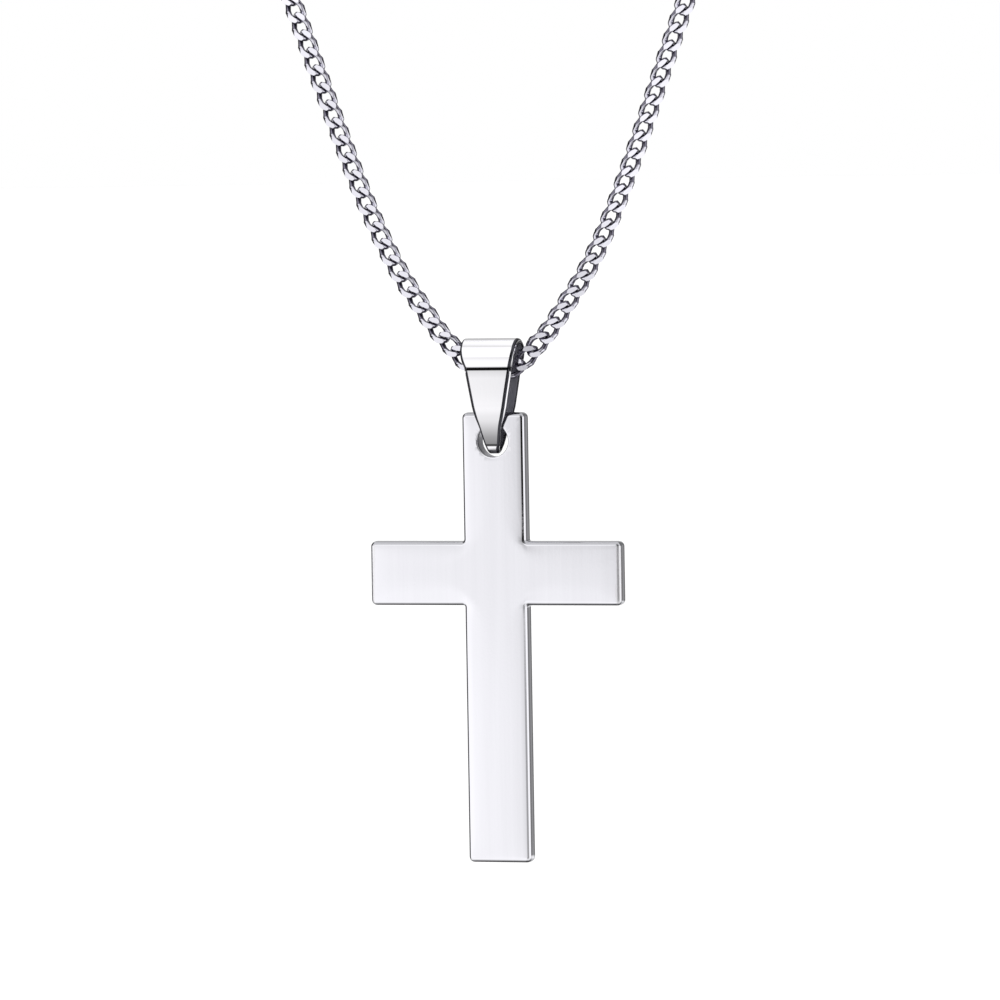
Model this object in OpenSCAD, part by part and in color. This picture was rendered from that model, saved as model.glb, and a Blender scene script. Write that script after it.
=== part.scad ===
// Cross pendant on a curb chain: a plain Latin cross, a folded bail and the whole loop
// of chain as it is worn, closed at the back of the neck. Millimetres, +Z up, front
// towards -Y. The origin is the middle of the clasp, at the nape.

/* [Cross] */
// height of the cross
cross_h = 50.4; // [30:0.1:80]
// width of the cross over both arms
cross_w = 29.6; // [18:0.2:50]
// width of the upright bar
stem_w = 7.4; // [4:0.1:10]
// height of the arms
arm_h = 7.2; // [4:0.1:10]
// distance from the top of the cross down to the arms
arm_top = 14.4; // [10:0.1:25]
// thickness of the cross
cross_t = 2.1; // [1.6:0.1:3]
// radius of the corners seen from the front
corner_r = 0.6; // [0.45:0.05:1]
// rounding of all the long edges
edge_r = 0.45; // [0.2:0.05:0.5]
// radius of the hole that the bail goes through
hole_r = 1.8; // [1.5:0.05:2.2]
// rounding of the rims of the hole
rim_r = 0.15; // [0.1:0.05:0.4]
// metal between the hole and the top of the cross
bridge_h = 1.4; // [1.1:0.05:1.8]

/* [Bail] */
// height of the bail
bail_h = 12.9; // [11:0.1:16]
// thickness of the strip that the bail is folded from
strip_t = 0.55; // [0.4:0.05:0.7]
// outer radius of the roll round the chain
roll_r = 2.25; // [2:0.05:3]
// width of the roll
roll_w = 6.4; // [5:0.1:8]
// width of the bail at the crease under the roll
crease_w = 4.9; // [3.5:0.1:6]
// width of the bail at its tip
tip_w = 1.3; // [1:0.1:2]
// distance from the top of the bail down to the crease
crease_drop = 3.4; // [3:0.1:4.5]
// depth of the crease in the strip
crease_cut = 0.2; // [0.1:0.05:0.3]
// half of the depth of the bail at the crease, over the strip
leaf_out = 2; // [1.9:0.05:2.4]
// angle between each leg and the middle plane next to the cross
leg_angle = 20; // [16:1:24]
// inner radius of the fold at the tip
tip_r = 0.45; // [0.3:0.05:0.8]

/* [Chain] */
// width of the chain
chain_w = 2.3; // [1.6:0.1:3]
// thickness of the chain
chain_t = 1.5; // [1:0.1:2]
// distance from one link to the next
pitch = 2.1; // [1.8:0.05:3]
// diameter of the wire
wire_d = 0.5; // [0.4:0.05:0.6]
// outer length of a link
link_l = 3.6; // [3:0.05:4.5]
// turn of each end of a link out of the chain's face
link_twist = 60; // [45:1:70]
// real links on each side of the middle one
front_links = 16; // [12:1:24]

/* [Clasp] */
// length of the barrel between the eyes
barrel_l = 7; // [5:0.1:9]
// diameter of the barrel
barrel_d = 3; // [2.4:0.1:4]
// outer diameter of an eye
eye_d = 2.6; // [2:0.1:3.4]
// thickness of an eye and half the width of its rim
eye_t = 0.7; // [0.5:0.05:0.9]

/* [Clearances] */
// gap between the cross and the legs of the bail
cross_gap = 0.12; // [0.08:0.01:0.2]
// height of the roll's mouths above the edge of the chain, which slopes up into them
mouth_gap = 0.6; // [0.2:0.05:0.8]
// gap between the last real link and the plain stretch behind it
strand_gap = 0.2; // [0.1:0.05:0.4]
// gap between the clasp and each end of the chain
clasp_gap = 0.2; // [0.1:0.05:0.5]

/* [Hidden] */
$fn = 64;
eps = 0.01;

// Where the chain passes through the bail, from the nape.
drop = 146.1;
reach = 112;
// The right half of the chain from the bail to the clasp, as distances to the side, up
// and back from the bail, with the direction that the face of the chain looks, in
// degrees round from the front.
ROUTE = [
    [0, 0, 0, 0], [1.8, 0.33, 0, 0], [3.4, 1.3, 0, 0], [4.9, 2.85, 0, 0], [6.5, 4.6, 0, 0],
    [8.7, 7.7, 0, 0], [11.2, 11.5, 0, 0], [14, 17.1, 0, 0], [17.2, 25, 0, 0],
    [25, 46, 0.5, 0], [34, 67, 4, 12], [43, 86, 11, 30], [51, 103, 23, 50],
    [56.5, 117.5, 40, 70], [58.5, 128, 58, 90], [54, 135.2, 78, 112], [43, 140.6, 95, 135],
    [27, 144.1, 107, 156], [13, 145.6, 111, 170], [6, 146.1, 112, 178]
];
// Steps between two points of the route, sides of the back stretch and its rings on
// each side, sides of a link and of its wire.
STEPS = 4;
SIDES = 8;
RINGS = 38;
LINK_SIDES = 12;
WIRE_SIDES = 6;

// A point of the smooth curve through four points, with u from 0 to 1 between b and c.
function smooth(a, b, c, d, u) =
    0.5 * (2 * b + (c - a) * u + (2 * a - 5 * b + 4 * c - d) * u * u
        + (3 * b - a - 3 * c + d) * u * u * u);

function flip(p) = [-p[0], p[1], p[2], -p[3]];

last = len(ROUTE) - 1;
half_route = [
    for (i = [0 : last - 1], k = [0 : STEPS - 1])
        smooth(i == 0 ? flip(ROUTE[1]) : ROUTE[i - 1], ROUTE[i], ROUTE[i + 1],
            i == last - 1 ? 2 * ROUTE[last] - ROUTE[last - 1] : ROUTE[i + 2], k / STEPS),
    ROUTE[last]
];
finish = len(half_route) - 1;

function unit(v) = v / norm(v);
function place(p) = [p[0], p[2] - reach, p[1] - drop];
function stretch(i) = norm(place(half_route[i + 1]) - place(half_route[i]));

// Length of chain from the bail to each point.
marks = [for (i = 0, s = 0; i <= finish; s = s + (i < finish ? stretch(i) : 0), i = i + 1) s];
half_length = marks[finish];

function segment(s, i = 0) = i >= finish - 1 || marks[i + 1] > s ? i : segment(s, i + 1);
function between(s, i) =
    let (u = (s - marks[i]) / (marks[i + 1] - marks[i]))
        half_route[i] * (1 - u) + half_route[i + 1] * u;

// The route at a length of chain from the bail, to the left where it is negative.
function at(s) = s < 0 ? flip(at(-s)) : between(min(s, half_length), segment(s));
function spot(s) = place(at(s));
function along(s) = unit(spot(s + 0.5) - spot(s - 0.5));
function looks(s) = [sin(at(s)[3]), -cos(at(s)[3]), 0];
function face_dir(s) = unit(looks(s) - (looks(s) * along(s)) * along(s));
function side_dir(s) = cross(along(s), face_dir(s));

// The highest point of the chain's upper edge inside the roll, at its mouths.
mouth_edge = max([
    for (s = [0 : 0.1 : 2 * roll_w])
        let (edge = spot(s) - side_dir(s) * chain_w / 2)
            if (edge[0] <= roll_w / 2) edge[2]
]);

// Heights from the nape. The cross hangs from a wedge between the legs, and turns
// about swing_z.
roll_z = mouth_edge + mouth_gap - (roll_r - strip_t);
bail_top = roll_z + roll_r;
bail_bottom = bail_top - bail_h;
crease_z = bail_top - crease_drop;
tip_z = bail_bottom + tip_r + strip_t;
half_flat = cross_t / 2 - rim_r;
wedge_r = half_flat / cos(leg_angle) + rim_r + cross_gap;
swing_z = tip_z + (wedge_r - tip_r) / sin(leg_angle);
// The legs meet the rim of the hole at their edges, where the rim is lower than its top.
rim_z = swing_z - half_flat * tan(leg_angle) - rim_r;
rim_x = (tip_w + (crease_w - tip_w) * (rim_z - bail_bottom) / (crease_z - bail_bottom)) / 2;
hole_z = rim_z - sqrt(hole_r * hole_r - rim_x * rim_x);
hole_top = hole_z + hole_r;
cross_top = hole_top + bridge_h;
// Where the legs bend from the wedge into their upper stretch.
knee_z = swing_z + 0.3;
knee_in = (wedge_r + (knee_z - swing_z) * sin(leg_angle)) / cos(leg_angle);

// Faces of a tube of rings with so many sides, closed on itself or capped.
function tube_walls(rings, sides) = [
    for (i = [0 : rings - 2], k = [0 : sides - 1])
        let (a = i * sides + k, b = i * sides + (k + 1) % sides)
            each [[a, b, b + sides], [a, b + sides, a + sides]]
];
function ring_walls(rings, sides) = concat(
    tube_walls(rings, sides),
    [
        for (k = [0 : sides - 1])
            let (a = (rings - 1) * sides + k, b = (rings - 1) * sides + (k + 1) % sides)
                each [[a, b, (k + 1) % sides], [a, (k + 1) % sides, k]]
    ]
);

// The wire's middle line in a link: x to the side, y out of the chain's face and z along
// it. Both ends are turned out of the face, each its own way, or all of the link is.
half_side = (chain_w - wire_d) / 2;
half_link = (link_l - wire_d) / 2;
function turned(t, flat) = -link_twist * (flat ? 1 : cos(t));
function wire_line(t, flat) = [
    half_side * sin(t) * cos(turned(t, flat)),
    half_side * sin(t) * sin(turned(t, flat)),
    half_link * cos(t)
];
function wire_point(t, k, flat) =
    let (run = unit(wire_line(t + 2, flat) - wire_line(t - 2, flat)))
    let (out = unit([sin(t) * cos(turned(t, flat)), sin(t) * sin(turned(t, flat)), cos(t)]))
    let (flank = unit(cross(run, out)))
    let (top = cross(flank, run), a = 360 * k / WIRE_SIDES)
        wire_line(t, flat) + (top * cos(a) + flank * sin(a)) * wire_d / 2;

module link_shape(flat) {
    points = [
        for (i = [0 : LINK_SIDES - 1], k = [0 : WIRE_SIDES - 1])
            wire_point(360 * i / LINK_SIDES, k, flat)
    ];
    polyhedron(points = points, faces = ring_walls(LINK_SIDES, WIRE_SIDES), convexity = 4);
}

// A link at a length of chain from the bail.
module link_at(s, flat) {
    x = side_dir(s);
    y = face_dir(s);
    z = along(s);
    p = spot(s);
    multmatrix([
        [x[0], y[0], z[0], p[0]], [x[1], y[1], z[1], p[1]], [x[2], y[2], z[2], p[2]], [0, 0, 0, 1]
    ])
        link_shape(flat);
}

// The two strands are mirror images, joined by one flat link inside the bail.
module chain_front() {
    color("silver") {
        link_at(0, true);
        for (side = [0, 1], i = [1 : front_links])
            mirror([side, 0, 0])
                link_at(i * pitch, false);
    }
}

// The rest of each strand, as the outer form of its links: flat faces with slanted edges.
back_start = front_links * pitch + link_l / 2 + strand_gap;
function ring(s) = [
    for (k = [0 : SIDES - 1])
        let (a = 360 * (k + 0.5) / SIDES, c = 1 / cos(180 / SIDES))
            spot(s) + side_dir(s) * cos(a) * c * chain_w / 2 + face_dir(s) * sin(a) * c * chain_t / 2
];

module strand() {
    rings = [for (i = [0 : RINGS]) each ring(back_start + (half_length - back_start) * i / RINGS)];
    first_cap = [for (k = [SIDES - 1 : -1 : 0]) k];
    last_cap = [for (k = [0 : SIDES - 1]) RINGS * SIDES + k];
    walls = tube_walls(RINGS + 1, SIDES);
    polyhedron(points = rings, faces = concat(walls, [first_cap, last_cap]), convexity = 10);
}

module chain_back() {
    color("silver")
        for (side = [0, 1])
            mirror([side, 0, 0])
                strand();
}

// The clasp fills the space between the ends of the chain.
clasp_half = ROUTE[last][0] - clasp_gap;

module clasp_body() {
    difference() {
        union() {
            rotate([0, 90, 0])
                cylinder(h = barrel_l, d = barrel_d, center = true);
            for (side = [-1, 1])
                translate([side * (clasp_half - eye_d / 2), 0, 0]) {
                    cylinder(h = eye_t, d = eye_d, center = true);
                    translate([-side * eye_d / 4, 0, 0])
                        cube([eye_d / 2, eye_t * 1.6, eye_t], center = true);
                }
        }
        for (side = [-1, 1])
            translate([side * (clasp_half - eye_d / 2), 0, 0])
                cylinder(h = 2 * barrel_d, d = eye_d - 2 * eye_t, center = true);
    }
}

// The clasp lies between the two ends of the chain.
module clasp() {
    color("silver")
        translate([0, spot(half_length)[1], spot(half_length)[2]])
            clasp_body();
}

// The space that the strip goes round, or the outside of the bail, as a bar along X:
// everything up to a distance out from the strip's inner face.
module bail_core(out, width) {
    knee = knee_in + out;
    crease = leaf_out - strip_t + out;
    tip = tip_r + out;
    // The legs end a little inside the fold, so that they join it in plain cuts.
    foot = tip - 0.02;
    rotate([90, 0, 90]) {
        translate([0, roll_z])
            cylinder(h = width, r = roll_r - strip_t + out, center = true);
        translate([0, tip_z])
            cylinder(h = width, r = tip, center = true);
        linear_extrude(height = width, center = true)
            polygon([
                [crease, roll_z], [crease, crease_z], [knee, knee_z],
                [foot * cos(leg_angle), tip_z - foot * sin(leg_angle)],
                [-foot * cos(leg_angle), tip_z - foot * sin(leg_angle)],
                [-knee, knee_z], [-crease, crease_z], [-crease, roll_z]
            ]);
    }
}

module crease_notch(side) {
    rotate([90, 0, 90])
        linear_extrude(height = 2 * roll_w, center = true)
            polygon([
                [side * (leaf_out - crease_cut), crease_z],
                [side * (leaf_out + 1), crease_z + 1],
                [side * (leaf_out + 1), crease_z - 1]
            ]);
}

module bail_front() {
    polygon([
        [roll_w / 2, bail_top + 1], [roll_w / 2, roll_z + roll_r / 3],
        [crease_w / 2, crease_z], [tip_w / 2, bail_bottom], [tip_w / 2, bail_bottom - 1],
        [-tip_w / 2, bail_bottom - 1], [-tip_w / 2, bail_bottom], [-crease_w / 2, crease_z],
        [-roll_w / 2, roll_z + roll_r / 3], [-roll_w / 2, bail_top + 1]
    ]);
}

module bail() {
    color("silver")
        translate([0, -reach, 0])
            difference() {
                intersection() {
                    bail_core(strip_t, 2 * roll_w);
                    rotate([90, 0, 0])
                        linear_extrude(height = 4 * roll_r, center = true)
                            bail_front();
                }
                bail_core(0, 3 * roll_w);
                for (side = [-1, 1])
                    crease_notch(side);
            }
}

// A rectangle with round corners, standing on the middle of its lower side.
module plate(w, h, r) {
    translate([0, h / 2])
        union() {
            square([w - 2 * r, h], center = true);
            square([w, h - 2 * r], center = true);
            for (x = [-1, 1], y = [-1, 1])
                translate([x * (w / 2 - r), y * (h / 2 - r)])
                    circle(r = r);
        }
}

// A bar with its corners rounded seen from the front and its long edges rounded.
module bar(w, h) {
    intersection() {
        rotate([90, 0, 0])
            linear_extrude(height = 2 * cross_t, center = true)
                plate(w, h, corner_r);
        translate([0, -cross_t / 2, -eps])
            linear_extrude(height = h + 2 * eps)
                plate(w, cross_t, edge_r);
        rotate([90, 0, 90])
            linear_extrude(height = w + 2 * eps, center = true)
                plate(cross_t, h, edge_r);
    }
}

// The bore through the cross, with its two rims rounded.
module bore() {
    rotate([90, 0, 0])
        rotate_extrude()
            difference() {
                translate([0, -cross_t])
                    square([hole_r + rim_r, 2 * cross_t]);
                for (side = [-1, 1])
                    translate([hole_r + rim_r, side * (cross_t / 2 - rim_r)])
                        circle(r = rim_r);
                translate([hole_r, -(cross_t / 2 - rim_r)])
                    square([2 * rim_r, cross_t - 2 * rim_r]);
            }
}

module cross_body() {
    difference() {
        union() {
            translate([0, 0, cross_top - cross_h])
                bar(stem_w, cross_h);
            translate([0, 0, cross_top - arm_top - arm_h])
                bar(cross_w, arm_h);
        }
        translate([0, 0, hole_z])
            bore();
    }
}

module cross_pendant() {
    color("silver")
        translate([0, -reach, 0])
            cross_body();
}

chain_front();
chain_back();
clasp();
bail();
cross_pendant();  // cross
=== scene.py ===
import math
import bpy
import bmesh
from mathutils import Matrix, Vector


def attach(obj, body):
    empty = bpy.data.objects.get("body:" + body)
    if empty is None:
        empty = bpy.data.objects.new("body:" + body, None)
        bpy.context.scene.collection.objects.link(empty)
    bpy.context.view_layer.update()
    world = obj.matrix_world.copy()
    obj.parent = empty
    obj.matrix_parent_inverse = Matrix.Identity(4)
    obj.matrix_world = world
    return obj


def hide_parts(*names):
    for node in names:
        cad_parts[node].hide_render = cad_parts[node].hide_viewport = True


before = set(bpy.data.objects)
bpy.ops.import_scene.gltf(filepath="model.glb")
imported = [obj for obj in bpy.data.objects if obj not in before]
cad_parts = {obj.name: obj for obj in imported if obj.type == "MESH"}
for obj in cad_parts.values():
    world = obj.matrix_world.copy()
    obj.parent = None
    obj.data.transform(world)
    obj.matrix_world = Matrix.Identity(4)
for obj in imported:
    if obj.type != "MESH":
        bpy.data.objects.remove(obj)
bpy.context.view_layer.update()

mm = 0.001
near = 0.01  # millimetres within which two places count as one
scene = bpy.context.scene
front = Vector((0, -0.112, 0))  # the plane that the pendant hangs in


def objectFrom(bm, name, materials):
    mesh = bpy.data.meshes.new(name)
    bm.to_mesh(mesh)
    bm.free()
    for material in materials:
        mesh.materials.append(material)
    made = bpy.data.objects.new(name, mesh)
    bpy.context.collection.objects.link(made)
    return made


def pieceFrom(bm, name, materials, body, nodes, place=(0, 0, 0)):
    # the shape comes in millimetres, and place says in metres where it goes
    bmesh.ops.scale(bm, vec=(mm, mm, mm), verts=bm.verts[:])
    bmesh.ops.translate(bm, vec=place, verts=bm.verts[:])
    piece = objectFrom(bm, name, materials)
    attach(piece, body)
    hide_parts(*nodes)
    return piece


# camera

view = {"azimuth": 19, "elevation": 2.5, "roll": -0.95, "distance": 0.9, "lens": 290,
        "target": (0.42 * mm, -112 * mm, -160.4 * mm), "nearest": 0.01}


def addCamera():
    azimuth = math.radians(view["azimuth"])
    elevation = math.radians(view["elevation"])
    level = math.cos(elevation)
    away = Vector((math.sin(azimuth) * level, -math.cos(azimuth) * level, math.sin(elevation)))
    roll = Matrix.Rotation(math.radians(view["roll"]), 3, "Z")
    data = bpy.data.cameras.new("camera")
    data.lens = view["lens"]
    data.clip_start = view["nearest"]
    camera = bpy.data.objects.new("camera", data)
    camera.location = Vector(view["target"]) + away * view["distance"]
    camera.rotation_euler = (away.to_track_quat("Z", "Y").to_matrix() @ roll).to_euler()
    bpy.context.collection.objects.link(camera)
    scene.camera = camera


addCamera()
scene.view_settings.view_transform = "Standard"
print("camera placed")


# finishes, some with painted shade and painted reflections

# how fine and how detailed the marks in every polish are, and how much each of them counts
polish = {"streaks": 1000, "streakDetail": 4, "clouds": 160, "cloudDetail": 2, "scratchDetail": 6,
          "streakShare": 0.7, "streakHeight": 0.8, "low": 0.5, "high": 1.2, "depth": 0.00002}
brushed = {"size": (1.2, 1.2, 0.03), "detail": 3, "low": 0.35, "high": 0.65, "change": 0.01}


def noise(mat, scale, detail, stretch=None):
    nodes = mat.node_tree.nodes
    links = mat.node_tree.links
    place = nodes.new("ShaderNodeTexCoord").outputs["Object"]
    if stretch:
        mapping = nodes.new("ShaderNodeMapping")
        mapping.inputs["Scale"].default_value = stretch
        links.new(place, mapping.inputs["Vector"])
        place = mapping.outputs["Vector"]
    texture = nodes.new("ShaderNodeTexNoise")
    texture.inputs["Scale"].default_value = scale
    texture.inputs["Detail"].default_value = detail
    links.new(place, texture.inputs["Vector"])
    return texture.outputs["Fac"]


def maths(mat, operation, *values):
    # each value is a number or what another node gives
    node = mat.node_tree.nodes.new("ShaderNodeMath")
    node.operation = operation
    for i, value in enumerate(values):
        if isinstance(value, (int, float)):
            node.inputs[i].default_value = value
        else:
            mat.node_tree.links.new(value, node.inputs[i])
    return node.outputs["Value"]


def spread(mat, value, fromLow, fromHigh, toLow=0, toHigh=1, ease="LINEAR"):
    node = mat.node_tree.nodes.new("ShaderNodeMapRange")
    node.interpolation_type = ease
    node.inputs["From Min"].default_value = fromLow
    node.inputs["From Max"].default_value = fromHigh
    node.inputs["To Min"].default_value = toLow
    node.inputs["To Max"].default_value = toHigh
    mat.node_tree.links.new(value, node.inputs["Value"])
    return node.outputs["Result"]


def colourRamp(mat, value, stops):
    # a stop is a place from 0 to 1 with its colour
    node = mat.node_tree.nodes.new("ShaderNodeValToRGB")
    dots = node.color_ramp.elements
    dots.remove(dots[1])
    for i, (place, colour) in enumerate(stops):
        dot = dots[0] if i == 0 else dots.new(place)
        dot.position = place
        dot.color = (*colour, 1)
    mat.node_tree.links.new(value, node.inputs["Fac"])
    return node.outputs["Color"]


def steel(name, colour, roughness, grain, grainSize, scratchSize):
    p = polish
    mat = bpy.data.materials.new(name)
    mat.use_nodes = True
    nodes = mat.node_tree.nodes
    links = mat.node_tree.links
    shader = nodes["Principled BSDF"]
    shader.inputs["Metallic"].default_value = 1
    shader.inputs["Base Color"].default_value = (*colour, 1)
    # streaks of the polishing, cloudy changes over the metal, and scratches that catch the light
    streaks = noise(mat, p["streaks"], p["streakDetail"], grainSize)
    clouds = noise(mat, p["clouds"], p["cloudDetail"])
    scratches = noise(mat, scratchSize, p["scratchDetail"])
    mixed = maths(mat, "MULTIPLY_ADD", streaks, p["streakShare"], clouds)
    links.new(spread(mat, mixed, p["low"], p["high"], *roughness), shader.inputs["Roughness"])
    height = maths(mat, "MULTIPLY_ADD", streaks, p["streakHeight"], scratches)
    bump = nodes.new("ShaderNodeBump")
    bump.inputs["Strength"].default_value = grain
    bump.inputs["Distance"].default_value = p["depth"]
    links.new(height, bump.inputs["Height"])
    links.new(bump.outputs["Normal"], shader.inputs["Normal"])
    return mat


def brush(mat):
    # some upright streaks are a little darker and some a little paler
    b = brushed
    base = mat.node_tree.nodes["Principled BSDF"].inputs["Base Color"]
    dark = [c * (1 - b["change"]) for c in base.default_value[:3]]
    pale = [c * (1 + b["change"]) for c in base.default_value[:3]]
    streaks = noise(mat, polish["streaks"], b["detail"], b["size"])
    mat.node_tree.links.new(colourRamp(mat, streaks, [(b["low"], dark), (b["high"], pale)]), base)


def paintShadeBands(mat, bands):
    # painted shade and painted reflections, in bands by height: for some heights in millimetres, how much
    # of the colour is kept
    nodes = mat.node_tree.nodes
    links = mat.node_tree.links
    base = nodes["Principled BSDF"].inputs["Base Color"]
    split = nodes.new("ShaderNodeSeparateXYZ")
    links.new(nodes.new("ShaderNodeTexCoord").outputs["Object"], split.inputs["Vector"])
    low, high = bands[0][0], bands[-1][0]
    height = spread(mat, split.outputs["Z"], low * mm, high * mm)
    stops = []
    for z, kept in bands:
        stops.append(((z - low) / (high - low), [kept * c for c in base.default_value[:3]]))
    links.new(colourRamp(mat, height, stops), base)


# after the name: the colour, the lowest and highest roughness, how deep the marks are,
# how the streaks are stretched, and how fine the scratches are
crossSteel = steel("cross_polish", (0.883, 0.878, 0.925), (0.03, 0.08), 0.1, (3, 3, 0.08), 2600)
brush(crossSteel)
bailSteel = steel("bail_polish", (0.98, 0.972, 1), (0.02, 0.06), 0.08, (2, 2, 0.3), 2600)
# painted shade in the crease and just below it, painted dark reflections down the foot, and painted dark
# and pale reflection lines on the tip
paintShadeBands(bailSteel, [(-155.1, 0.5), (-154.8, 0.1), (-154.72, 0.95), (-154.4, 1), (-154.3, 0.04),
                    (-154.16, 0.04), (-154.06, 0.26), (-153.3, 0.36), (-151.6, 0.74), (-150, 1),
                    (-146.7, 1), (-145.9, 0.84), (-145.82, 0.03), (-145.58, 0.03), (-145.5, 1)])
# the polished flats of the links; their wire, a little darker as painted shade; and its walls, dark as
# painted shade
chainSteel = steel("chain_polish", (0.91, 0.9, 0.98), (0.1, 0.2), 0.15, (1, 1, 1), 3000)
wireShadeSteel = steel("wire_painted_shade", (0.74, 0.73, 0.81), (0.04, 0.12), 0.1, (1, 1, 1), 3000)
wallShadeSteel = steel("wall_painted_shade", (0.19, 0.18, 0.23), (0.1, 0.2), 0.1, (1, 1, 1), 3000)
# painted dark shade on the rounded edges of the bail's strip, and a rougher finish painted darker as
# painted shade for the inner side of the strip with the wall of the hole
edgeShadeSteel = steel("edge_painted_shade", (0.06, 0.06, 0.07), (0.05, 0.1), 0.1, (1, 1, 1), 3000)
insideShadeSteel = steel("inside_rough_painted_shade", (0.6, 0.6, 0.64), (0.25, 0.5), 1, (1.5, 1.5, 1), 1800)
# painted shade on the tops, undersides and rear edges of the cross, and a softer polish for the ends of its
# arms
rimShadeSteel = steel("rim_painted_shade", (0.52, 0.52, 0.55), (0.05, 0.1), 0.1, (3, 3, 0.08), 2600)
softSteel = steel("soft_polish", (0.885, 0.878, 0.91), (0.3, 0.4), 0.12, (3, 3, 0.08), 2600)
# the clasp, turned on a lathe
claspSteel = steel("clasp_polish", (0.87, 0.875, 0.89), (0.08, 0.18), 0.2, (0.3, 3, 3), 2600)
print("finishes made")


# tools for the shapes

def ringOf(bm, points):
    verts = [bm.verts.new(p) for p in points]
    for a, b in zip(verts, verts[1:] + verts[:1]):
        bm.edges.new((a, b))


def thicken(bm):
    # gives a flat shape its second side, and says which corners are there
    wall = bmesh.ops.extrude_face_region(bm, geom=bm.faces[:])
    return [g for g in wall["geom"] if isinstance(g, bmesh.types.BMVert)]


def sharpEdges(bm, least):
    return [e for e in bm.edges if len(e.link_faces) == 2 and e.calc_face_angle(0) > least]


def roundOff(bm, parts, size, steps, affect="EDGES"):
    return bmesh.ops.bevel(bm, geom=parts, offset=size, segments=steps, profile=0.5,
                           affect=affect, material=-1)["faces"]


def cutAcross(bm, axis, places):
    for place in places:
        spot = [place if i == axis else 0 for i in range(3)]
        way = [1 if i == axis else 0 for i in range(3)]
        bmesh.ops.bisect_plane(bm, geom=bm.verts[:] + bm.edges[:] + bm.faces[:], dist=0.0001,
                               plane_co=spot, plane_no=way)


# cross

cross = {"height": 50.4, "width": 29.6, "stem": 7.4, "arm": 7.2, "armTop": 14.4, "thick": 2.1,
         "corner": 0.6, "inner": 0.25, "cornerSteps": 6, "edge": 0.45, "edgeSteps": 8,
         "holeR": 1.8, "holeSides": 72, "holeDrop": 3.2, "rim": 0.15, "rimSteps": 4, "sharp": 0.8,
         "crown": 0.1, "crownCurve": 1.5, "belly": 0.03, "cuts": 0.55, "sideCuts": 4,
         "top": -150.57}
# where the painted shade and the softer polish start: how far a face looks up, down, aside or ahead,
# and in millimetres how far back it lies ("sideRear") or how near to the end of an arm ("end")
crossFinishAndShade = {"hole": 0.4, "top": 0.16, "under": -0.3, "underFront": -0.5, "side": 0.6,
               "sideRear": 0.16, "end": 0.5, "endFront": -0.2}


def crownAt(x, z):
    # 0 along the outline of the cross, 1 over the middle of its bars
    c = cross

    def inBar(u, half):
        return (half * half - u * u) / (2 * half)

    def both(p, q):
        return p + q - math.hypot(p, q)

    upright = both(inBar(x, c["stem"] / 2), inBar(z + c["height"] / 2, c["height"] / 2))
    arms = both(inBar(z + c["armTop"] + c["arm"] / 2, c["arm"] / 2), inBar(x, c["width"] / 2))
    inside = (upright + arms + math.hypot(upright, arms)) / (c["stem"] / 4)
    return 1 - (1 - min(1, max(0, inside))) ** c["crownCurve"]


def nearHole(v):
    c = cross
    return math.hypot(v.co.x, v.co.z + c["holeDrop"]) < c["holeR"] + c["rim"] + near


def crossPlate(bm):
    c = cross
    # the sides bulge by the belly later, so the outline starts that much smaller
    s, w, t = c["stem"] / 2 - c["belly"], c["width"] / 2 - c["belly"], c["thick"] / 2
    armHigh, armLow = -c["armTop"] - c["belly"], -c["armTop"] - c["arm"] + c["belly"]
    outline = [(s, -c["belly"]), (s, armHigh), (w, armHigh), (w, armLow), (s, armLow),
               (s, c["belly"] - c["height"])]
    outline += [(-x, z) for x, z in reversed(outline)]
    ringOf(bm, [(x, -t, z) for x, z in outline])

    def isInner(v):  # where an arm meets the stem
        atArm = min(abs(v.co.z - armHigh), abs(v.co.z - armLow)) < near
        return atArm and abs(abs(v.co.x) - s) < near

    for inner, size in ((False, c["corner"]), (True, c["inner"])):
        corners = [v for v in bm.verts if isInner(v) == inner]
        roundOff(bm, corners, size, c["cornerSteps"], "VERTICES")
    hole = bmesh.ops.create_circle(bm, cap_ends=False, segments=c["holeSides"], radius=c["holeR"])
    bmesh.ops.rotate(bm, verts=hole["verts"], matrix=Matrix.Rotation(math.pi / 2, 3, "X"))
    bmesh.ops.translate(bm, verts=hole["verts"], vec=(0, -t, -c["holeDrop"]))
    bmesh.ops.triangle_fill(bm, use_beauty=True, edges=bm.edges[:])
    bmesh.ops.translate(bm, verts=thicken(bm), vec=(0, 2 * t, 0))
    bmesh.ops.recalc_face_normals(bm, faces=bm.faces[:])


def polishRound(bm):
    # edges and rim are rounded, and faces and sides bulge a little
    c = cross
    for atHole, size, steps in ((True, c["rim"], c["rimSteps"]), (False, c["edge"], c["edgeSteps"])):
        edges = [e for e in sharpEdges(bm, c["sharp"]) if nearHole(e.verts[0]) == atHole
                 and abs(e.verts[0].co.y - e.verts[1].co.y) < near]
        roundOff(bm, edges, size, steps)
    flat = c["thick"] / 2 - c["edge"]
    across = int(c["width"] / 2 / c["cuts"])
    down = int(c["height"] / c["cuts"])
    cutAcross(bm, 1, [flat * k / c["sideCuts"] for k in range(1 - c["sideCuts"], c["sideCuts"])])
    cutAcross(bm, 0, [k * c["cuts"] for k in range(-across, across + 1)])
    cutAcross(bm, 2, [-k * c["cuts"] for k in range(1, down + 1)])
    bm.normal_update()
    for v in bm.verts:
        if abs(v.co.y) < flat - near and not nearHole(v):
            v.co += v.normal * c["belly"] * (1 - (v.co.y / flat) ** 2)
    for v in bm.verts:
        v.co.y *= 1 - c["crown"] * (1 - crownAt(v.co.x, v.co.z)) / (c["thick"] / 2)


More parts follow.
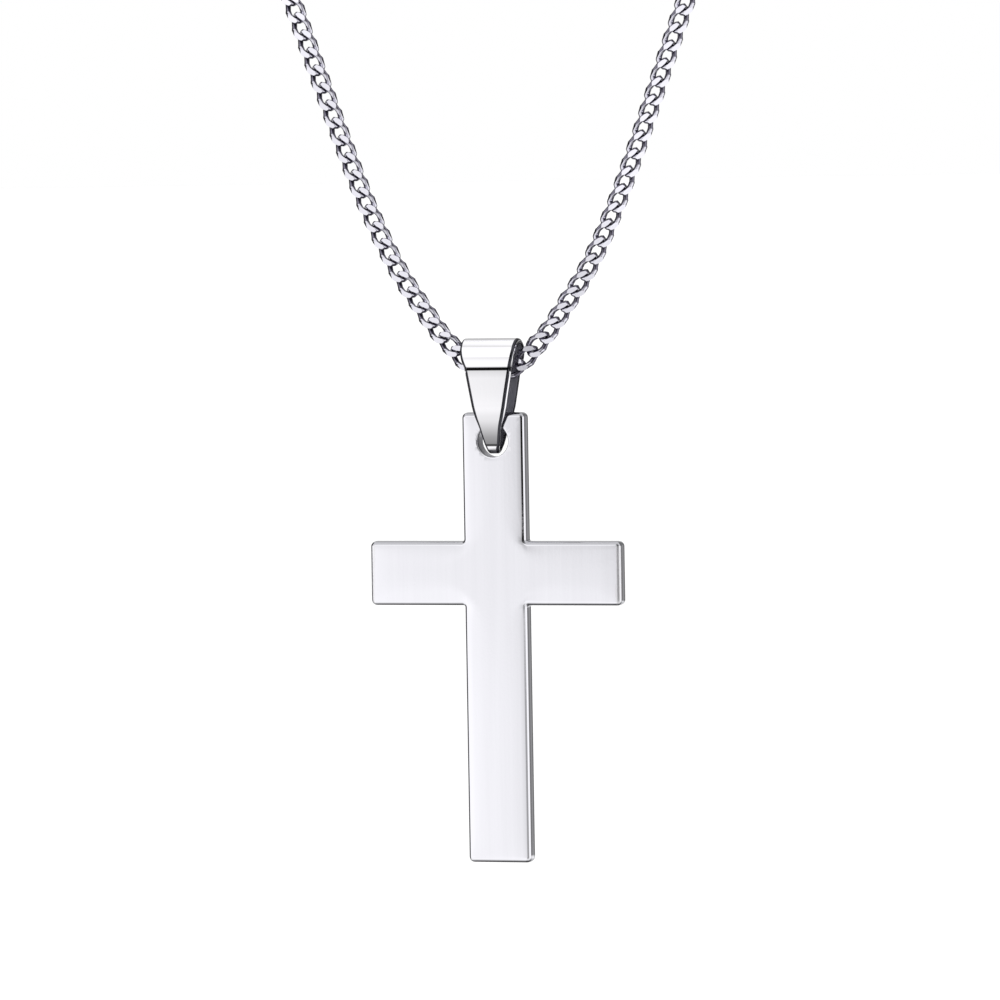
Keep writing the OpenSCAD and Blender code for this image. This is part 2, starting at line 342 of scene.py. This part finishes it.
def finishOrShadeOf(face):
    # 0 is the plain polish, 1 the painted shade on tops, undersides and rear sides, 2 the wall of the hole
    # and 3 the soft polish
    f = crossFinishAndShade
    looks = face.normal
    fromEnd = cross["width"] / 2 - cross["belly"] - abs(face.verts[0].co.x)
    # the wall of the hole gets the rougher finish, painted darker as painted shade
    if nearHole(face.verts[0]):
        return 2 if abs(looks.y) < f["hole"] else 0
    # painted shade on faces that look up, down, or aside at the rear
    if looks.z > f["top"] or (looks.z < f["under"] and looks.y > f["underFront"]):
        return 1
    if abs(looks.x) > f["side"] and face.calc_center_median().y > f["sideRear"]:
        return 1
    return 3 if fromEnd < f["end"] and looks.y < f["endFront"] else 0


def makeCross():
    bm = bmesh.new()
    crossPlate(bm)
    polishRound(bm)
    for face in bm.faces:
        face.smooth = True
        face.material_index = finishOrShadeOf(face)
    steels = [crossSteel, rimShadeSteel, insideShadeSteel, softSteel]
    place = front + Vector((0, 0, cross["top"] * mm))
    pieceFrom(bm, "cross_metal", steels, "cross", ["cross"], place)


makeCross()
print("cross made")


# bail

bail = {"rollZ": -144.557, "rollR": 2.25, "rollEnd": 27, "rollSteps": 48, "strip": 0.55,
        "creaseZ": -145.707, "creaseCut": 0.22, "creaseHigh": 0.22, "creaseLift": 0.02, "lipIn": 0.01,
        "leafOut": 2, "leafBow": 0.05, "kneeZ": -151.633, "kneeOut": 1.966, "kneeEase": 0.1,
        "legAngle": 20, "legCuts": 8, "legSmooth": 40, "tipZ": -154.207, "tipR": 0.45, "tipSteps": 16,
        "aside": -0.1, "lean": -0.01, "edge": 0.22, "edgeSteps": 4, "sharp": 0.6, "crisp": 0.7,
        "edgeAcross": 0.9, "innerLooks": 0.5}
# at some heights, half of the width of the strip outside, and how much wider it is inside
bailWidths = [(-142.3, 3.2, 0.2), (-143.6, 3.12, 0.2), (-144.6, 2.92, 0.25), (-145.5, 2.64, 0.3),
              (-145.8, 2.56, 0.33), (-150, 1.8, 0.33), (-151.2, 1.52, 0.28), (-151.8, 1.34, 0.12),
              (-152.4, 1.2, 0.06), (-154.2, 0.84, 0.06), (-154.7, 0.66, 0.06), (-155.207, 0.6, 0.06)]


def bailWidth(z, inside):
    for (z0, w0, more0), (z1, w1, more1) in zip(bailWidths, bailWidths[1:]):
        if z >= z1:
            u = min(1, max(0, (z - z0) / (z1 - z0)))
            return w0 + (w1 - w0) * u + inside * (more0 + (more1 - more0) * u)
    return bailWidths[-1][1]


def bailArc(bm, z, radius, dip, turn, steps):
    # starts dip degrees below the front and turns over the top, or below where turn is above 0
    before = len(bm.verts)
    a = math.radians(dip)
    start = bm.verts.new((0, -radius * math.cos(a), z - radius * math.sin(a)))
    bmesh.ops.spin(bm, geom=[start], cent=(0, 0, z), axis=(1, 0, 0), angle=math.radians(turn),
                   steps=steps, use_duplicate=False)
    bm.verts.ensure_lookup_table()
    return bm.verts[before], bm.verts[-1]


def bailLine(bm, out):
    # the line round the strip's inner face, or that far out from it
    b = bail
    outside = out > 0
    inset = b["strip"] - out
    leafY = b["leafOut"] - inset
    dip = b["rollEnd"] if outside else math.degrees(math.acos(leafY / (b["rollR"] - inset)))
    rollEnds = bailArc(bm, b["rollZ"], b["rollR"] - inset, dip, -180 - 2 * dip, b["rollSteps"])
    tipEnds = bailArc(bm, b["tipZ"], b["tipR"] + out, b["legAngle"], 180 - 2 * b["legAngle"], b["tipSteps"])
    ends = []
    for side in (-1, 1):
        top = next(v for v in rollEnds if v.co.y * side > 0)
        if outside:
            cut = bm.verts.new((0, side * (leafY - b["creaseCut"]), b["creaseZ"] + b["creaseLift"]))
            lip = bm.verts.new((0, side * (leafY - b["lipIn"]), b["creaseZ"] - b["creaseHigh"] / 2))
            bm.edges.new((top, cut))
            bm.edges.new((cut, lip))
            top = lip
        ends.append((side, top, next(v for v in tipEnds if v.co.y * side > 0)))
    # the legs, eased round at the knee
    before = len(bm.verts)
    legs = []
    for side, top, low in ends:
        middle = bm.verts.new((0, side * (leafY + b["leafBow"]), (top.co.z + b["kneeZ"]) / 2))
        knee = bm.verts.new((0, side * (b["kneeOut"] - inset + b["kneeEase"]), b["kneeZ"]))
        legs += [bm.edges.new(p) for p in ((top, middle), (middle, knee), (knee, low))]
    bmesh.ops.subdivide_edges(bm, edges=legs, cuts=b["legCuts"])
    bm.verts.ensure_lookup_table()
    for _ in range(b["legSmooth"]):
        bmesh.ops.smooth_vert(bm, verts=bm.verts[before:], factor=0.5, use_axis_y=True)


def makeBail():
    b = bail
    bm = bmesh.new()
    bailLine(bm, 0)
    inner = {tuple(v.co) for v in bm.verts}
    bailLine(bm, b["strip"])
    bmesh.ops.triangle_fill(bm, use_beauty=True, edges=bm.edges[:])
    right = set(thicken(bm))
    inside = {v for v in bm.verts if tuple(v.co) in inner}
    for v in bm.verts:
        v.co.x = bailWidth(v.co.z, v in inside) * (1 if v in right else -1)
        v.co.x += b["aside"] + b["lean"] * (v.co.z - b["tipZ"])
    bmesh.ops.recalc_face_normals(bm, faces=bm.faces[:])
    # the inner side gets the rougher finish, painted darker as painted shade
    for face in bm.faces:
        isInner = inside.issuperset(face.verts) and abs(face.normal.x) < b["innerLooks"]
        face.smooth = True
        face.material_index = 2 if isInner else 0
    along = [e for e in sharpEdges(bm, b["sharp"])
             if abs(e.verts[0].co.x - e.verts[1].co.x) < b["edgeAcross"]]
    # the rounded edges get the painted dark shade
    for face in roundOff(bm, along, b["edge"], b["edgeSteps"]):
        face.smooth = True
        face.material_index = 1
    for edge in sharpEdges(bm, b["crisp"]):
        edge.smooth = False
    steels = [bailSteel, edgeShadeSteel, insideShadeSteel]
    strip = pieceFrom(bm, "bail_strip", steels, "bail", ["bail"], front)
    shade = strip.modifiers.new("flat_shade", "WEIGHTED_NORMAL")
    shade.keep_sharp = True


makeBail()
print("bail made")


# chain

chain = {"width": 2.42, "length": 3.55, "wire": 0.7, "wireSides": 6, "linkSteps": 16, "straight": 0.5,
         "twist": -65, "cut": 0.53, "wallLooks": 0.5, "backLooks": 0.05, "perSide": 119, "endGap": 0.3,
         "turn": 42, "turnIn": 8, "turnOut": 60, "turnEnd": 110, "reach": 112, "drop": 146.1,
         "routeSteps": 24, "feeler": 0.5}
# distances to the side, up and back from the bail, and the way that the face looks
route = [(0, 0, 0, 0), (1.8, 0.33, 0, 0), (3.4, 1.3, 0, 0), (4.9, 2.85, 0, 0),
         (6.5, 4.6, 0, 0), (8.7, 7.7, 0, 0), (11.2, 11.5, 0, 0), (14, 17.1, 0, 0),
         (17.2, 25, 0, 0), (25, 46, 0.5, 0), (34, 67, 4, 12), (43, 86, 11, 30),
         (51, 103, 23, 50), (56.5, 117.5, 40, 70), (58.5, 128, 58, 90), (54, 135.2, 78, 112),
         (43, 140.6, 95, 135), (27, 144.1, 107, 156), (13, 145.6, 111, 170), (6, 146.1, 112, 178)]


def smoothRoute(steps):
    # a smooth curve through the points, which goes on over the middle as the other strand does
    points = [Vector(p) for p in route]
    side, up, back, face = route[1]
    points.insert(0, Vector((-side, up, back, -face)))
    points.append(2 * points[-1] - points[-2])
    made = []
    for a, b, c, d in zip(points, points[1:], points[2:], points[3:]):
        for k in range(steps):
            u = k / steps
            made.append(0.5 * (2 * b + (c - a) * u + (2 * a - 5 * b + 4 * c - d) * u * u
                               + (3 * b - a - 3 * c + d) * u ** 3))
    made.append(points[-2])
    return made


curve = smoothRoute(chain["routeSteps"])
spots = [Vector((p[0], p[2] - chain["reach"], p[1] - chain["drop"])) for p in curve]
run = [0]  # millimetres of chain from the bail to each spot
for a, b in zip(spots, spots[1:]):
    run.append(run[-1] + (b - a).length)


def chainAt(s):
    # the spot at s millimetres of chain from the bail, and the way that the face looks there
    mirror = -1 if s < 0 else 1
    s = abs(s)
    if s >= run[-1]:
        p = spots[-1] + (spots[-1] - spots[-2]).normalized() * (s - run[-1])
        face = curve[-1][3]
    else:
        i = next(k for k in range(len(run) - 1) if run[k + 1] > s)
        u = (s - run[i]) / (run[i + 1] - run[i])
        p = spots[i].lerp(spots[i + 1], u)
        face = curve[i][3] * (1 - u) + curve[i + 1][3] * u
    return Vector((mirror * p.x, p.y, p.z)), mirror * face


def linkFrame(s, turned):
    c = chain
    spot, face = chainAt(s)
    if turned:  # this strand lies turned outwards, and less so near the bail and the shoulder
        fadeOut = max(0, min(1, (c["turnEnd"] - s) / c["turnOut"]))
        face += c["turn"] * min(1, s / c["turnIn"]) * fadeOut
    along = (chainAt(s + c["feeler"])[0] - chainAt(s - c["feeler"])[0]).normalized()
    looks = Vector((math.sin(math.radians(face)), -math.cos(math.radians(face)), 0))
    looks = (looks - looks.dot(along) * along).normalized()
    side = along.cross(looks)
    return Matrix((side, looks, along)).transposed().to_4x4(), spot


def linkWire(bm):
    # a plain oval link with its polish and its painted shade
    c = chain
    r = c["wire"] / 2
    a = c["width"] / 2 - r
    rise = (c["length"] - c["wire"]) / 2 - a
    wire = bmesh.ops.create_circle(bm, cap_ends=False, segments=c["wireSides"], radius=r)
    bmesh.ops.rotate(bm, verts=wire["verts"], matrix=Matrix.Rotation(math.pi / 6, 3, "Z"))
    bmesh.ops.translate(bm, verts=wire["verts"], vec=(a, 0, 0))
    bmesh.ops.spin(bm, geom=bm.edges[:], cent=(0, 0, 0), axis=(0, 1, 0), angle=2 * math.pi,
                   steps=c["linkSteps"], use_merge=True, use_duplicate=False)
    for v in bm.verts:
        v.co.z += rise * max(-1, min(1, v.co.z / (c["straight"] * a)))
    bmesh.ops.recalc_face_normals(bm, faces=bm.faces[:])
    for face in bm.faces:
        middle = face.calc_center_median()
        outwards = Vector((middle.x, 0, middle.z - max(-rise, min(rise, middle.z)))).normalized()
        # painted shade: the walls, and the outer wire where it goes back behind the next link, get the dark
        # colour
        goesBack = middle.x > 0 and face.normal.y * middle.z > c["backLooks"]
        isWall = abs(face.normal.dot(outwards)) >= c["wallLooks"]
        face.smooth = True
        face.material_index = 2 if isWall or goesBack else 1


def linkMesh(flat):
    c = chain
    bm = bmesh.new()
    linkWire(bm)
    top = max(v.co.z for v in bm.verts)
    for v in bm.verts:
        angle = math.radians(c["twist"]) * (1 if flat else v.co.z / top)
        v.co = Matrix.Rotation(angle, 3, "Z") @ v.co
    if not flat:  # front and back are cut to polished flats
        for side in (-1, 1):
            cut = bmesh.ops.bisect_plane(bm, geom=bm.verts[:] + bm.edges[:] + bm.faces[:],
                                         plane_co=(0, side * c["cut"], 0), plane_no=(0, side, 0),
                                         clear_outer=True)
            edges = [g for g in cut["geom_cut"] if isinstance(g, bmesh.types.BMEdge)]
            for face in bmesh.ops.holes_fill(bm, edges=edges)["faces"]:
                face.smooth = False
                face.material_index = 0
    bmesh.ops.recalc_face_normals(bm, faces=bm.faces[:])
    mesh = bpy.data.meshes.new("link_form")
    bm.to_mesh(mesh)
    bm.free()
    return mesh


def makeChain():
    step = (run[-1] - chain["endGap"]) / chain["perSide"]
    forms = {False: linkMesh(False), True: linkMesh(True)}
    steels = [chainSteel, wireShadeSteel, wallShadeSteel]
    nodes = ["chain_front", "chain_back"]
    for name, mirror, first in (("chain_right", 1, 0), ("chain_left", -1, 1)):
        bm = bmesh.new()
        for i in range(first, chain["perSide"] + 1):
            turn, spot = linkFrame(i * step, mirror > 0)
            before = len(bm.verts)
            bm.from_mesh(forms[i == 0])  # the link inside the bail isn't twisted
            bm.verts.ensure_lookup_table()
            new = bm.verts[before:]
            bmesh.ops.transform(bm, matrix=turn, verts=new)
            bmesh.ops.translate(bm, vec=spot, verts=new)
        if mirror < 0:
            bmesh.ops.scale(bm, vec=(-1, 1, 1), verts=bm.verts[:])
        # a link's own frame mirrors it as well, so all its faces are turned outwards again
        bmesh.ops.recalc_face_normals(bm, faces=bm.faces[:])
        pieceFrom(bm, name, steels, "chain", nodes)
    for mesh in forms.values():
        bpy.data.meshes.remove(mesh)


makeChain()
print("chain made", round(2 * run[-1]), "mm")


# clasp

clasp = {"half": 5.8, "barrelL": 7, "barrelD": 3, "sides": 40, "edge": 0.5, "edgeSteps": 4, "sharp": 0.8,
         "seam": 0.12, "seamD": 0.93, "eyeD": 2.6, "eyeT": 0.7, "wireSides": 10, "eyeSteps": 32}


def makeClasp():
    c = clasp
    bm = bmesh.new()
    barrel = bmesh.ops.create_cone(bm, cap_ends=True, segments=c["sides"], radius1=c["barrelD"] / 2,
                                   radius2=c["barrelD"] / 2, depth=c["barrelL"])
    bmesh.ops.rotate(bm, verts=barrel["verts"], matrix=Matrix.Rotation(math.pi / 2, 3, "Y"))
    roundOff(bm, sharpEdges(bm, c["sharp"]), c["edge"], c["edgeSteps"])
    # the seam where the two halves of the barrel meet
    cutAcross(bm, 0, (-c["seam"], c["seam"], 0))
    for v in bm.verts:
        if abs(v.co.x) < near:
            v.co.y *= c["seamD"]
            v.co.z *= c["seamD"]
    r = c["eyeT"] / 2
    for side in (-1, 1):
        known = set(bm.verts)
        eye = bmesh.ops.create_circle(bm, cap_ends=False, segments=c["wireSides"], radius=r)
        bmesh.ops.rotate(bm, verts=eye["verts"], matrix=Matrix.Rotation(math.pi / 2, 3, "X"))
        bmesh.ops.translate(bm, verts=eye["verts"], vec=(c["eyeD"] / 2 - r, 0, 0))
        rim = [e for e in bm.edges if e.verts[0] not in known]
        bmesh.ops.spin(bm, geom=rim, cent=(0, 0, 0), axis=(0, 0, 1), angle=2 * math.pi,
                       steps=c["eyeSteps"], use_merge=True, use_duplicate=False)
        ring = [v for v in bm.verts if v not in known]
        bmesh.ops.translate(bm, verts=ring, vec=(side * (c["half"] - c["eyeD"] / 2), 0, 0))
    bmesh.ops.recalc_face_normals(bm, faces=bm.faces[:])
    for face in bm.faces:
        face.smooth = True
    pieceFrom(bm, "clasp_barrel", [claspSteel], "chain", ["clasp"])


makeClasp()
print("clasp made")


# studio

studio = {"floorZ": -0.26, "floor": 30.0, "paper": 0.95, "paperRough": 0.9, "sky": 1.0,
          "key": 0.6, "keySpread": 40, "keyTilt": 35, "keyTurn": -30,
          "tentR": 0.4, "tentSides": 64, "tentRings": 32, "tentLight": 1.2, "middle": (0, -0.112, -0.165)}
# the light of the tent that the metal mirrors, at azimuths from the back over the left (-90),
# the front (0) and the right: pale in front and behind, with dark cloths at the sides
leftSide = [(-180, 0.55), (-125, 0.5), (-115, 0.04), (-74, 0.04), (-66, 1.1)]
rightSide = [(60, 1.1), (112, 1.1), (118, 0.15), (150, 0.2), (158, 0.32), (166, 0.28), (170, 0.1),
             (176, 0.4), (180, 0.55)]
# lower down it is paler all round the back
lowLeft = [(-180, 0.9), (-125, 0.75), (-115, 0.04), (-74, 0.04), (-66, 1.1)]
lowRight = [(60, 1.1), (112, 1.1), (118, 0.5), (135, 0.75), (158, 0.95), (180, 0.9)]
lowFront = [(-40, 1.12), (-27, 1.1), (-19, 1.01), (-12, 0.9), (-4, 0.75), (4, 0.36), (50, 0.4)]
darkCloth = [(0, 0.25), (3, 0.01), (57, 0.01)]
# each row is a height in degrees with its lights
tentRows = [
    (-80, [(-180, 0.05)]),
    (-60, [(-180, 0.05), (-110, 0.05), (-90, 0.4), (-40, 0.5), (60, 0.5), (110, 0.4), (120, 0.05),
           (180, 0.05)]),
    (-42, [(-180, 0.05), (-110, 0.05), (-90, 0.8), (-40, 1.05), (5, 1.0), (60, 0.9), (110, 0.9),
           (120, 0.1), (180, 0.05)]),
    (-18, lowLeft + [(-4, 1.05), (6, 0.35), (50, 0.4)] + lowRight),
    (-12.5, lowLeft + lowFront + lowRight),
    (-9.8, leftSide + lowFront + rightSide),
    (-7, leftSide + lowFront + rightSide),
    (-3.1, leftSide + [(-40, 1.1), (-27, 1.04), (-19, 0.95), (-12, 0.85), (-4, 0.75), (4, 0.7),
                       (54, 0.75)] + rightSide),
    (-2.3, leftSide + [(-40, 1.12), (-27, 1.05), (-19, 0.96), (-12, 0.76), (-4, 0.55)]
     + darkCloth + rightSide),
    (4, leftSide + [(-40, 1.12), (-27, 0.98), (-19, 0.9), (-12, 0.6), (-4, 0.42)]
     + darkCloth + rightSide),
    (8, leftSide + [(-40, 1.05), (-27, 0.94), (-19, 0.88), (-12, 0.62), (-4, 0.45)]
     + darkCloth + rightSide),
    (14, leftSide + [(-4, 1.1), (0, 0.6), (6, 0.05), (54, 0.05)] + rightSide),
    (38, leftSide + [(0, 1.05), (10, 0.4), (50, 0.4)] + rightSide),
    (60, [(-180, 1.05)]),
    (66.5, [(-180, 1.05), (-110, 1.05), (-80, 0.76), (60, 0.76), (90, 1.05), (180, 1.05)]),
    (74, [(-180, 1.05)]),
]


def tentMaterial():
    mat = bpy.data.materials.new("light_tent")
    mat.use_nodes = True
    nodes = mat.node_tree.nodes
    links = mat.node_tree.links
    nodes.remove(nodes["Principled BSDF"])
    away = nodes.new("ShaderNodeVectorMath")
    away.operation = "NORMALIZE"
    links.new(nodes.new("ShaderNodeTexCoord").outputs["Object"], away.inputs[0])
    split = nodes.new("ShaderNodeSeparateXYZ")
    links.new(away.outputs["Vector"], split.inputs["Vector"])
    ahead = maths(mat, "MULTIPLY", split.outputs["Y"], -1)
    azimuth = maths(mat, "ARCTAN2", split.outputs["X"], ahead)
    height = maths(mat, "ARCSINE", split.outputs["Z"])
    around = spread(mat, azimuth, -math.pi, math.pi)
    light = None
    for i, (elevation, lights) in enumerate(tentRows):
        stops = [((side + 180) / 360, [shine / studio["tentLight"]] * 3) for side, shine in lights]
        row = colourRamp(mat, around, stops)
        if light is None:
            light = row
            continue
        below = math.radians(tentRows[i - 1][0])
        share = spread(mat, height, below, math.radians(elevation), ease="SMOOTHSTEP")
        mix = nodes.new("ShaderNodeMix")
        mix.data_type = "RGBA"
        links.new(share, mix.inputs[0])
        links.new(light, mix.inputs[6])  # the colour below
        links.new(row, mix.inputs[7])  # and the one above
        light = mix.outputs[2]
    glow = nodes.new("ShaderNodeEmission")
    glow.inputs["Strength"].default_value = studio["tentLight"]
    links.new(light, glow.inputs["Color"])
    links.new(glow.outputs["Emission"], nodes["Material Output"].inputs["Surface"])
    mat.cycles.emission_sampling = "NONE"
    return mat


def addFloor():
    paper = bpy.data.materials.new("floor_paper")
    paper.use_nodes = True
    shader = paper.node_tree.nodes["Principled BSDF"]
    shader.inputs["Base Color"].default_value = (*[studio["paper"]] * 3, 1)
    shader.inputs["Roughness"].default_value = studio["paperRough"]
    bm = bmesh.new()
    bmesh.ops.create_grid(bm, x_segments=1, y_segments=1, size=studio["floor"])
    bmesh.ops.translate(bm, verts=bm.verts[:], vec=(0, 0, studio["floorZ"]))
    floor = objectFrom(bm, "studio_floor", [paper])
    floor.visible_glossy = False


def addTent():
    # only the metal sees it, as a reflection
    bm = bmesh.new()
    bmesh.ops.create_uvsphere(bm, u_segments=studio["tentSides"], v_segments=studio["tentRings"],
                              radius=studio["tentR"])
    tent = objectFrom(bm, "light_tent", [tentMaterial()])
    tent.location = studio["middle"]
    tent.visible_camera = False
    tent.visible_diffuse = False
    tent.visible_shadow = False


def addLight():
    sky = bpy.data.worlds.new("studio_sky")
    sky.use_nodes = True
    sky.node_tree.nodes["Background"].inputs["Color"].default_value = (1, 1, 1, 1)
    sky.node_tree.nodes["Background"].inputs["Strength"].default_value = studio["sky"]
    scene.world = sky
    data = bpy.data.lights.new("key_light", "SUN")
    data.energy = studio["key"]
    data.angle = math.radians(studio["keySpread"])
    key = bpy.data.objects.new("key_light", data)
    key.rotation_euler = (math.radians(studio["keyTilt"]), 0, math.radians(studio["keyTurn"]))
    bpy.context.collection.objects.link(key)


addFloor()
addTent()
addLight()
print("studio made")
